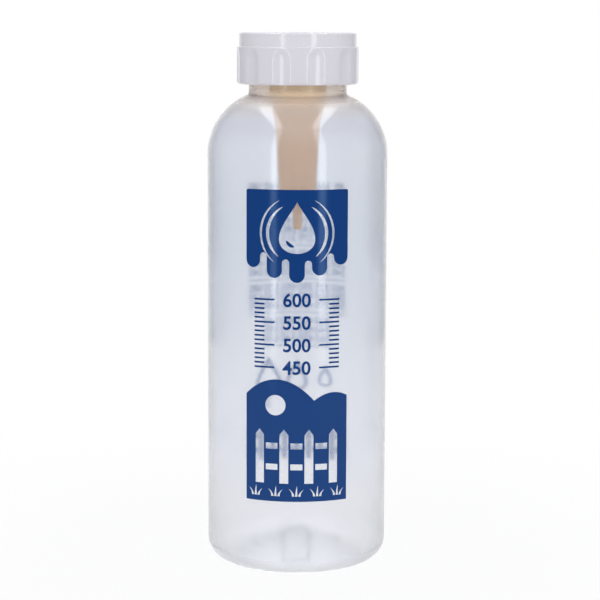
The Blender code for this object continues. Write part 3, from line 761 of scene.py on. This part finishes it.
# %% Lay out the marks with Geometry Nodes
def ladder_tree():
    """A node tree that lays bars up a line, on both sides of the middle, every fifth of them longer."""
    tree = bpy.data.node_groups.new("mark_ladder", "GeometryNodeTree")
    tree.is_modifier = True
    socket = tree.interface.new_socket
    socket("Geometry", in_out="OUTPUT", socket_type="NodeSocketGeometry")
    socket("Marks", in_out="INPUT", socket_type="NodeSocketInt")
    for name in ("Start", "Pitch", "Outer", "Short", "Long", "Stroke", "Depth"):
        socket(name, in_out="INPUT", socket_type="NodeSocketFloat")
    socket("Ink", in_out="INPUT", socket_type="NodeSocketMaterial")
    given = add_node(tree, "NodeGroupInput").outputs

    def vector(**sides):
        return add_node(tree, "ShaderNodeCombineXYZ", sides).outputs[0]

    start, pitch = vector(Y=given["Start"]), vector(Y=given["Pitch"])
    line = add_node(tree, "GeometryNodeMeshLine", {"Count": given["Marks"], "Start Location": start, "Offset": pitch})
    number = add_node(tree, "GeometryNodeInputIndex").outputs[0]
    fifth = maths(tree, "LESS_THAN", maths(tree, "MODULO", number, 5), 0.5)
    extra = maths(tree, "SUBTRACT", given["Long"], given["Short"])
    length = maths(tree, "ADD", given["Short"], maths(tree, "MULTIPLY", extra, fifth))
    middle = maths(tree, "SUBTRACT", given["Outer"], maths(tree, "MULTIPLY", length, 0.5))
    points = add_node(tree, "GeometryNodeSetPosition", {"Geometry": line.outputs[0], "Offset": vector(X=middle)})
    bar = add_node(tree, "GeometryNodeMeshCube").outputs["Mesh"]
    size = vector(X=length, Y=given["Stroke"], Z=given["Depth"])
    bars = add_node(tree, "GeometryNodeInstanceOnPoints", {"Points": points.outputs[0], "Instance": bar, "Scale": size})
    right = add_node(tree, "GeometryNodeRealizeInstances", {"Geometry": bars.outputs[0]}).outputs[0]
    left = add_node(tree, "GeometryNodeTransform", {"Geometry": right, "Scale": (-1.0, 1.0, 1.0)}).outputs[0]
    left = add_node(tree, "GeometryNodeFlipFaces", {"Mesh": left}).outputs[0]
    both = add_node(tree, "GeometryNodeJoinGeometry")
    tree.links.new(right, both.inputs[0])
    tree.links.new(left, both.inputs[0])
    paint = add_node(tree, "GeometryNodeSetMaterial", {"Geometry": both.outputs[0], "Material": given["Ink"]})
    add_node(tree, "NodeGroupOutput", {"Geometry": paint.outputs[0]})
    return tree


def laid_out(tree, **values):
    """What a node tree makes from its named inputs, as a plain mesh."""
    obj = link(bpy.data.objects.new("layout", bpy.data.meshes.new("layout")))
    modifier = obj.modifiers.new("layout", "NODES")
    modifier.node_group = tree
    for item in tree.interface.items_tree:
        if item.in_out == "INPUT":
            modifier[item.identifier] = values[item.name]
    mesh = evaluated_mesh(obj)
    bpy.data.objects.remove(obj)
    return mesh


# %% Print the scale
marks = laid_out(
    ladder_tree(),
    Marks=(SCALE[-1] - SCALE[0]) // MARK_STEP + 1,
    Start=heights[SCALE[0]] * MM,
    Pitch=mark_pitch * MM,
    Outer=19.4 * MM,
    Short=4.8 * MM,
    Long=9.4 * MM,
    Stroke=0.8 * MM,
    Depth=INK_THICKNESS,
    Ink=navy_ink,
)
numbers = [flat_number(amount, FIGURE_HEIGHT, 0.0, height) for amount, height in heights.items()]
bend_print("print_scale", [marks, *numbers], 0.0)

# %% The lower panel: a fence on a hill
LOWER_HALF = 23.6
LOWER_BOTTOM = 34.8
POST_PLACES = [-16.8, -5.6, 5.6, 16.8]
POST_HALF = 2.0
POST_FOOT, POST_SHOULDER, POST_TIP = 43.0, 65.0, 67.6
RAIL_HEIGHTS = [50.5, 60.0]
RAIL_HALF = 1.35
STENCIL_GAP = 0.9
GRASS_FOOT = 37.2
GRASS_HALF = 0.55
TUFT_PITCH = 9.4
TUFT_BLADES = [(-1.4, -2.1, 3.6), (0.0, 0.3, 4.8), (1.4, 2.0, 3.2)]  # beside the tuft's middle, lean, height
HILLS = [(-9.0, 90.0, 30), (17.0, 84.0, 24)]  # middle, top, width
SUN = (-9.5, 78.4, 4.6)  # middle, radius


def hills():
    """The lower panel's outline, with two hills along its upper edge."""
    points = [(LOWER_HALF, LOWER_BOTTOM), (-LOWER_HALF, LOWER_BOTTOM)]
    for i in range(61):
        u = -LOWER_HALF + 2 * LOWER_HALF * i / 60
        points.append((u, max(top - (u - middle) ** 2 / width for middle, top, width in HILLS)))
    return points


def post(u):
    """A pointed fence post."""
    left, right = u - POST_HALF, u + POST_HALF
    return [(left, POST_FOOT), (right, POST_FOOT), (right, POST_SHOULDER), (u, POST_TIP), (left, POST_SHOULDER)]


def rail(left, right, v):
    """A rail between two posts, a little short of each, because a stencil needs its bridges."""
    short = POST_HALF + STENCIL_GAP
    return rectangle(left + short, right - short, v - RAIL_HALF, v + RAIL_HALF)


def blade(u, lean, height):
    """A blade of grass that bends over to one side."""
    left, right = [], []
    for i in range(9):
        t = i / 8
        half = GRASS_HALF * (1 - t) ** 0.8
        left.append((u + lean * t * t - half, GRASS_FOOT + height * t))
        right.append((u + lean * t * t + half, GRASS_FOOT + height * t))
    return right + left[-2::-1]


cut_out = [circle(*SUN), *(post(u) for u in POST_PLACES)]
cut_out += [rail(a, b, v) for v in RAIL_HEIGHTS for a, b in zip(POST_PLACES, POST_PLACES[1:])]
for k in range(-2, 3):
    cut_out += [blade(TUFT_PITCH * k + beside, lean, height) for beside, lean, height in TUFT_BLADES]
bend_print("print_lower", [flat_shape(hills(), *cut_out)], 0.0)

# %% [markdown]
# ## The print on the back
#
# The back of such a bottle carries small print. It is seen twice: from behind, and faintly through both walls from
# the front. A table of plain numbers, three drops and a low fence take its place and its weight.

# %% The back print
TABLE_HALF = 25.0
TABLE_TOP = 169.4
ROW_PITCH = 4.3
GROUP_GAP = 3.3
COLUMN_PITCH = 8.5
ROWS, FULL_ROWS, GROUP = 15, 12, 3
COLUMNS, FEWER_COLUMNS = 6, 4
TABLE_FIGURE, DROP_FIGURE = 3.7, 4.5
RULE_LOW, RULE_HIGH = 4.1, 3.5
DROPS, DROP_PITCH, LABEL_HEIGHT = 3, 14.0, 65.0
DROP_SIDES = [(78.0, 3.6, 1.4), (77.0, 2.2, 1.2)]  # outline and hole: height, first size, growth
SLATS, SLAT_PITCH, SLAT_HALF = 9, 6.0, 1.3
SLAT_LOW, SLAT_HIGH = 37.0, 54.0
BAR_FROM, BAR_TO, BAR_HALF = 1.8, 4.2, 1.4
BAR_HEIGHTS = (42.0, 49.0)
back = []
for row in range(ROWS):
    v = TABLE_TOP - ROW_PITCH * row - GROUP_GAP * (row // GROUP)
    columns = COLUMNS if row < FULL_ROWS else FEWER_COLUMNS
    reach = TABLE_HALF * columns / COLUMNS
    for column in range(columns):
        u = COLUMN_PITCH * (column - (columns - 1) / 2)
        back.append(flat_number(5 * (row + 4) * (column + 4), TABLE_FIGURE, u, v))
    if row % GROUP == GROUP - 1:
        back.append(flat_shape(rectangle(-reach, reach, v - RULE_LOW, v - RULE_HIGH)))
for k in range(DROPS):
    u = DROP_PITCH * (k - DROPS // 2)
    back.append(flat_shape(*(drop(u, v, size + growth * k) for v, size, growth in DROP_SIDES)))
    back.append(flat_number(k + 1, DROP_FIGURE, u, LABEL_HEIGHT))
for k in range(SLATS):
    u = SLAT_PITCH * (k - SLATS // 2)
    back.append(flat_shape(rectangle(u - SLAT_HALF, u + SLAT_HALF, SLAT_LOW, SLAT_HIGH)))
    if k < SLATS - 1:
        back += [flat_shape(rectangle(u + BAR_FROM, u + BAR_TO, v - BAR_HALF, v + BAR_HALF)) for v in BAR_HEIGHTS]
bend_print("print_back", back, math.pi)

# %% [markdown]
# ## The cap
#
# The cap is one white moulding: a wide skirt with eleven shallow grip grooves under a narrower tier. Each groove is
# what a large ball leaves when it is pushed into the skirt and drawn down, so it is 8 mm wide, less than a
# millimetre deep, and arched at its top. Cutting it in the shape function keeps the skirt one smooth skin. White
# plastic lets some light through, and without that the neck under the cap would be too dark.

# %% Make the cap's plastic
cap_plastic, tree, shader = new_material("white_cap_plastic", IOR=1.49, Specular_IOR_Level=0.8)
add_grain(tree, shader, (0.80, 0.77, 0.815), clouds=0.03, roughness=0.13, grain=0.05, fineness=1500.0)
let_light_through(tree, shader, (1.0, 0.98, 0.97), 0.7)

# %% Shape the cap
GRIP_GROOVES = 11
GRIP_TURN = math.radians(1.35)
GROOVE_BALL = 20.0 * MM
GROOVE_DEPTH = 0.72 * MM
GROOVE_TOP_GAP = 0.6 * MM
GROOVE_EDGE = 0.25 * MM
CAP_BORE = 24.9 * MM
CAP_TIER_RADIUS = CAP_RADIUS - 0.95 * MM
CAP_STEP_Z = CAP_TOP_Z - 6.3 * MM
CAP_CEILING_Z = CAP_TOP_Z - 2.0 * MM
CAP_BEAD_Z = CAP_CEILING_Z - 2.25 * MM
CAP_HOLE = 13.6 * MM
CAP_START_Z = THREAD_START_Z - THREAD_PITCH / 2
CAP_RIDGE = {"start_z": CAP_START_Z, "half_foot": 0.78 * MM, "half_crest": 0.4 * MM, "rise": 1.8 * MM}
GROOVE_CENTRE = CAP_RADIUS - GROOVE_DEPTH + GROOVE_BALL
GROOVE_BALL_Z = CAP_STEP_Z - GROOVE_TOP_GAP - math.sqrt(GROOVE_DEPTH * (2 * GROOVE_BALL - GROOVE_DEPTH))


def groove_radius(height, angle):
    """How far out the skirt may reach beside the ball that cuts the nearest groove."""
    pitch = math.tau / GRIP_GROOVES
    off = (angle - GRIP_TURN) % pitch - pitch / 2
    above = max(0.0, height - GROOVE_BALL_Z)
    inside = GROOVE_BALL**2 - above**2 - (GROOVE_CENTRE * math.sin(off)) ** 2
    return GROOVE_CENTRE * math.cos(off) - math.sqrt(inside) if inside > 0 else math.inf


def cap_shape(radius, height, angle):
    """Cuts the grip grooves into the skirt, with softened edges, and raises the thread inside."""
    if height < CAP_STEP_Z and radius > CAP_BORE + 1.0 * MM:
        cut = min(groove_radius(height, angle), radius + 4 * GROOVE_EDGE)
        share = min(1.0, max(0.0, 0.5 + (cut - radius) / (2 * GROOVE_EDGE)))
        return cut + (radius - cut) * share - GROOVE_EDGE * share * (1 - share), height
    if abs(radius - CAP_BORE) < 0.1 * MM:
        return radius - thread_lift(height, angle, **CAP_RIDGE), height
    return radius, height


# %% Draw the cap's half section and turn it
EDGE = 1.0 * MM
SMALL_EDGE = 0.35 * MM
CAP_FOOT_ROUND = 1.4 * MM
BEAD_WIDTH = 1.8 * MM
cap_profile = [
    *arc((CAP_HOLE + SMALL_EDGE, CAP_TOP_Z - SMALL_EDGE), SMALL_EDGE, 180, 90, 4),
    *run((CAP_HOLE + SMALL_EDGE, CAP_TOP_Z), (CAP_TIER_RADIUS - EDGE, CAP_TOP_Z), 4),
    *arc((CAP_TIER_RADIUS - EDGE, CAP_TOP_Z - EDGE), EDGE, 90, 0, 8),
    (CAP_TIER_RADIUS, CAP_STEP_Z + SMALL_EDGE),
    (CAP_TIER_RADIUS + SMALL_EDGE / 3, CAP_STEP_Z + SMALL_EDGE / 4),
    *arc((CAP_RADIUS - SMALL_EDGE, CAP_STEP_Z - SMALL_EDGE), SMALL_EDGE, 90, 0, 5),
    *run((CAP_RADIUS, CAP_STEP_Z - SMALL_EDGE), (CAP_RADIUS, CAP_Z + CAP_FOOT_ROUND), 36),
    *arc((CAP_RADIUS - CAP_FOOT_ROUND, CAP_Z + CAP_FOOT_ROUND), CAP_FOOT_ROUND, 0, -90, 8),
    *arc((CAP_BORE + SMALL_EDGE, CAP_Z + SMALL_EDGE), SMALL_EDGE, -90, -180, 4),
    *run((CAP_BORE, CAP_Z + SMALL_EDGE), (CAP_BORE, CAP_CEILING_Z), 70),
    (CAP_BORE, CAP_CEILING_Z),
    (FLANGE_RADIUS, CAP_CEILING_Z),
    (FLANGE_RADIUS, CAP_BEAD_Z),
    (FLANGE_RADIUS - BEAD_WIDTH, CAP_BEAD_Z),
    (FLANGE_RADIUS - BEAD_WIDTH, CAP_CEILING_Z),
    (CAP_HOLE, CAP_CEILING_Z),
]
cap = turned("cap_shell", cap_profile, 240, cap_plastic, cap_shape)
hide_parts("screw_cap")
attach(cap, "cap")

# %% [markdown]
# ## The teat
#
# The teat is dipped or moulded from natural rubber, matt and slightly clouded. It hangs upside down for storage, so
# its flange lies on the bottle's rim and its nipple points down, with the uncut nib still on its tip. It is turned
# like the bottle. The two air slits in the flange, which let air in as the milk goes out, are made with Booleans.
# Its colour is painted lighter up the bell, which hangs in the cap's shade, and darker down the nipple: that is
# painted light and shade.

# %% Make the rubber
latex, tree, shader = new_material("natural_rubber", Specular_IOR_Level=0.35, Sheen_Weight=0.25, Sheen_Roughness=0.4)
# Painted light: the rubber is lighter up the bell, which hangs in the cap's shade, and darker down the nipple.
latex_colour_and_painted_light = ramp_by_height(tree, [
    (150.0, (0.68, 0.40, 0.20)),
    (188.0, (0.66, 0.39, 0.20)),
    (202.0, (0.80, 0.54, 0.33)),
    (208.0, (0.87, 0.64, 0.45)),
    (214.0, (0.99, 0.77, 0.47)),
])
add_grain(tree, shader, latex_colour_and_painted_light, clouds=0.08, roughness=0.5, grain=0.1, fineness=700.0, bump=0.03 * MM)

# %% Draw the teat's half section and turn it
FLANGE_Z = RIM_Z + 0.3 * MM
FLANGE_THICKNESS = 2.6 * MM
FLANGE_TOP_Z = FLANGE_Z + FLANGE_THICKNESS
FLANGE_ROUND = 0.6 * MM
BELL_RADIUS = 13.0 * MM
BELL_BORE = 10.8 * MM
BELL_ROUND = 1.5 * MM
BELL_STEP = 0.08 * MM
LEDGE_Z = FLANGE_Z - 21.3 * MM
LEDGE_WIDTH = 1.4 * MM
CONE_END_Z = LEDGE_Z - 14.5 * MM
NIPPLE_ROOT = 9.7 * MM
NIPPLE_TIP = 8.5 * MM
NIPPLE_END_Z = CONE_END_Z - 28.0 * MM
NIPPLE_DOME = 6.4 * MM
TEAT_WALL = 2.2 * MM
NIB_RADIUS = 2.2 * MM
NIB_ROUND = 1.1 * MM

dome_lean = math.acos(NIB_RADIUS / NIPPLE_TIP)
outer_dome = [
    (NIPPLE_TIP * math.cos(dome_lean * i / 16), NIPPLE_END_Z - NIPPLE_DOME * math.sin(dome_lean * i / 16))
    for i in range(17)
]
inner_dome = [
    (
        (NIPPLE_TIP - TEAT_WALL) * math.sin(math.pi / 2 * i / 12),
        NIPPLE_END_Z - (NIPPLE_DOME - TEAT_WALL) * math.cos(math.pi / 2 * i / 12),
    )
    for i in range(13)
]
teat_profile = [
    *inner_dome,
    (NIPPLE_ROOT - TEAT_WALL, CONE_END_Z),
    (BELL_BORE - LEDGE_WIDTH, LEDGE_Z),
    (BELL_BORE, LEDGE_Z),
    *arc((BELL_BORE + FLANGE_ROUND, FLANGE_TOP_Z - FLANGE_ROUND), FLANGE_ROUND, 180, 90, 5),
    *arc((FLANGE_RADIUS - FLANGE_ROUND, FLANGE_TOP_Z - FLANGE_ROUND), FLANGE_ROUND, 90, 0, 5),
    *arc((FLANGE_RADIUS - FLANGE_ROUND, FLANGE_Z + FLANGE_ROUND), FLANGE_ROUND, 0, -90, 5),
    *arc((BELL_RADIUS + BELL_ROUND, FLANGE_Z - BELL_ROUND), BELL_ROUND, 90, 180, 6),
    *run((BELL_RADIUS, FLANGE_Z - BELL_ROUND), (BELL_RADIUS, LEDGE_Z), 8),
    (BELL_RADIUS, LEDGE_Z + 0.8 * MM),
    (BELL_RADIUS - BELL_STEP, LEDGE_Z),
    *run((BELL_RADIUS - BELL_STEP, LEDGE_Z), (NIPPLE_ROOT, CONE_END_Z), 8),
    *outer_dome,
    (NIB_RADIUS, NIB_END_Z + NIB_ROUND),
    *arc((NIB_RADIUS - NIB_ROUND, NIB_END_Z + NIB_ROUND), NIB_ROUND, 0, -90, 6)[1:],
    (0.0, NIB_END_Z),
]
teat = turned("teat_skin", teat_profile, 96, latex)

# %% Cut the air slits
VENT_RING = (BELL_RADIUS + NECK_BORE) / 2
VENT_RADIUS = 2.0 * MM
VENT_HEIGHT = 1.3 * MM
SLIT_LENGTH = 2.4 * MM
SLIT_WIDTH = 0.5 * MM
SLIT_REACH = 12.0 * MM
VENT_TAPER = 0.2


def cut_or_join(piece, operation, make, **sizes):
    """Adds a mesh to a piece, or cuts it away, and keeps the result as the piece's own mesh."""
    bm = bmesh.new()
    make(bm, **sizes)
    tool = link(bpy.data.objects.new("tool", mesh_from("tool", bm)))
    modifier = piece.modifiers.new("boolean", "BOOLEAN")
    modifier.operation = operation
    modifier.object = tool
    mesh = evaluated_mesh(piece)
    piece.modifiers.remove(modifier)
    piece.data = mesh
    bpy.data.objects.remove(tool)


boss_low = FLANGE_TOP_Z - FLANGE_ROUND
boss_height = VENT_HEIGHT + FLANGE_ROUND
wide, narrow = VENT_RADIUS * (1 + VENT_TAPER), VENT_RADIUS * (1 - VENT_TAPER)
boss = {"cap_ends": True, "segments": 40, "radius1": wide, "radius2": narrow, "depth": boss_height}
slit = Matrix.Diagonal((SLIT_WIDTH, SLIT_LENGTH, SLIT_REACH, 1.0))
for side in (-1, 1):
    place = Matrix.Translation((side * VENT_RING, 0.0, boss_low + boss_height / 2))
    cut_or_join(teat, "UNION", bmesh.ops.create_cone, matrix=place, **boss)
    place = Matrix.Translation((side * VENT_RING, 0.0, FLANGE_Z + FLANGE_THICKNESS / 2))
    cut_or_join(teat, "DIFFERENCE", bmesh.ops.create_cube, size=1.0, matrix=place @ slit)
smooth(teat.data)
print("teat_skin", len(teat.data.polygons), "faces")
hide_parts("teat")
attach(teat, "teat_set")

# %% [markdown]
# ## The valve
#
# The valve sits in the teat's bell: a cup, a ring with a cone in it, and a ball that the milk pushes against the
# cone. Only the ring's top is seen, through the hole in the cap. The cup's solid is good as it is and gets its
# plastic; the ring and the ball are round, so they are turned with more sides.

# %% Make the valve's plastics
valve_plastic, tree, shader = new_material("white_valve_plastic")
add_grain(tree, shader, (0.78, 0.78, 0.76), clouds=0.03, roughness=0.3, grain=0.05, fineness=1500.0)
ball_plastic, tree, shader = new_material("blue_ball_plastic")
add_grain(tree, shader, (0.02, 0.09, 0.36), clouds=0.05, roughness=0.14, grain=0.04, fineness=1500.0)

# %% Shape the seat and the ball
SEAT_HOLE = 2.83 * MM
SEAT_CONE = 1.8 * MM
SEAT_FLANGE_Z = SEAT_TOP_Z - 1.5 * MM
PLUG_RADIUS = 7.9 * MM
seat_profile = [
    *arc((SEAT_HOLE + 2 * SMALL_EDGE, SEAT_TOP_Z - 2 * SMALL_EDGE), 2 * SMALL_EDGE, 180, 90, 6),
    *arc((HOUSING_RADIUS - SMALL_EDGE, SEAT_TOP_Z - SMALL_EDGE), SMALL_EDGE, 90, 0, 4),
    (HOUSING_RADIUS, SEAT_FLANGE_Z),
    (PLUG_RADIUS, SEAT_FLANGE_Z),
    (PLUG_RADIUS, SEAT_PLUG_Z),
    (SEAT_HOLE + SEAT_CONE, SEAT_PLUG_Z),
    (SEAT_HOLE, SEAT_PLUG_Z + SEAT_CONE),
]
seat = turned("seat_ring", seat_profile, 96, valve_plastic)
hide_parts("valve_seat")
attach(seat, "teat_set")

ball_radius = (BALL_BOX[1].z - BALL_BOX[0].z) / 2
ball_profile = arc((0.0, BALL_BOX[0].z + ball_radius), ball_radius, 90, -90, 32)
ball_profile = [(0.0, BALL_BOX[1].z), *ball_profile[1:-1], (0.0, BALL_BOX[0].z)]
ball = turned("ball_skin", ball_profile, 64, ball_plastic)
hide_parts("valve_ball")
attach(ball, "ball")
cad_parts["valve_housing"].data.materials[0] = valve_plastic
